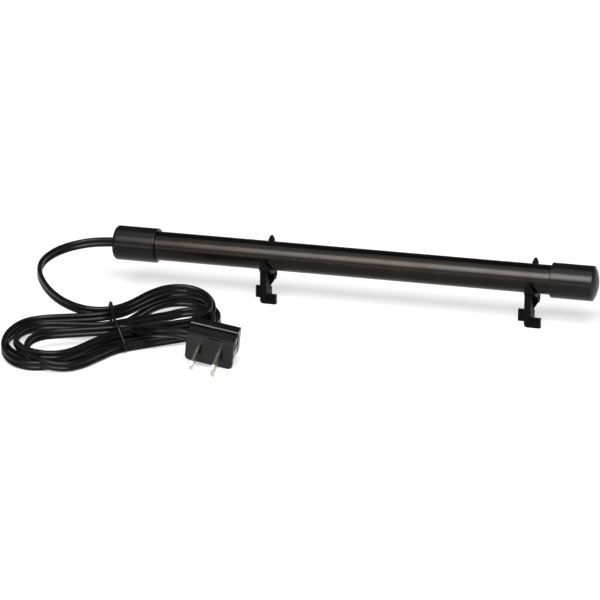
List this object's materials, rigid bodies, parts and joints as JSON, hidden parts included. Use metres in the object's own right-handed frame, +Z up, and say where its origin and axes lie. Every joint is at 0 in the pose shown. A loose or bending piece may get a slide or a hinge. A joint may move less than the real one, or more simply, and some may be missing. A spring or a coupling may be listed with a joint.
{
  "type": "electric heating rod",
  "caption": "Slim tubular electric heating rod with black end caps, spring mounting clips, and a tied flat cord ending in a slide-on mains plug.",
  "frame": {"origin": "on the floor under the middle of the rod, bottom centre of the box of the rod and clips without the cord and plug", "axes": "+X along the rod from the cord end to the domed end, +Y to the rear, +Z up"},
  "size_m": [0.3449, 0.1782, 0.0401],
  "materials": {
    "bronze_tube": "dark bronze anodised, semi-gloss",
    "black_cap": "black moulded plastic, satin",
    "clip_plastic": "black moulded nylon, satin",
    "cord_jacket": "black vinyl, semi-gloss",
    "plug_plastic": "dark grey moulded vinyl, fine grain",
    "plug_cover_plastic": "black moulded vinyl",
    "blade_metal": "nickel-plated brass, bright",
    "tie_plastic": "black coated wire tie",
    "nylon_clamp": "natural nylon",
    "silicone_seal": "grey silicone",
    "wire_insulation": "white insulation",
    "tinned_metal": "tinned copper",
    "cutoff_case": "pale lacquered case",
    "ceramic_core": "unglazed ceramic",
    "resistance_wire": "oxidised resistance alloy",
    "woven_sleeve": "woven glass sleeve, varnished",
    "spacer_disc": "pressed mica board"
  },
  "bodies": {
    "root": {"blade_narrow": "blade_metal", "blade_wide": "blade_metal", "cord_end_cap": "black_cap", "cord_hank": "cord_jacket", "cord_inside_plug": "cord_jacket", "cord_inside_rod": "cord_jacket", "cord_lead": "cord_jacket", "cord_tail": "cord_jacket", "cutoff_lead_in": "tinned_metal", "cutoff_lead_out": "tinned_metal", "dome_end_cap": "black_cap", "heater_core": "ceramic_core", "heating_wire": "resistance_wire", "insulating_sleeve": "woven_sleeve", "lead_wire_live": "wire_insulation", "lead_wire_neutral": "wire_insulation", "plug_body": "plug_plastic", "return_wire": "wire_insulation", "seal_left": "silicone_seal", "seal_right": "silicone_seal", "sheath_tube": "bronze_tube", "spacer_left": "spacer_disc", "spacer_middle": "spacer_disc", "spacer_right": "spacer_disc", "splice_live": "tinned_metal", "splice_neutral": "tinned_metal", "strain_relief_clamp": "nylon_clamp", "thermal_cutoff": "cutoff_case", "twist_tie": "tie_plastic"},
    "left_clip": {"clip_left": "clip_plastic"},
    "right_clip": {"clip_right": "clip_plastic"},
    "cover": {"plug_cover": "plug_cover_plastic"}
  },
  "joints": [
    {"name": "left_clip_slide", "type": "slide", "parent": "root", "child": "left_clip", "axis": [1, 0, 0], "range_m": [-0.064, 0.07]},
    {"name": "right_clip_slide", "type": "slide", "parent": "root", "child": "right_clip", "axis": [1, 0, 0], "range_m": [-0.078, 0.006]},
    {"name": "plug_cover_slide", "type": "slide", "parent": "root", "child": "cover", "axis": [0.9836, 0.065, -0.1681], "range_m": [0, 0.03]}
  ]
}
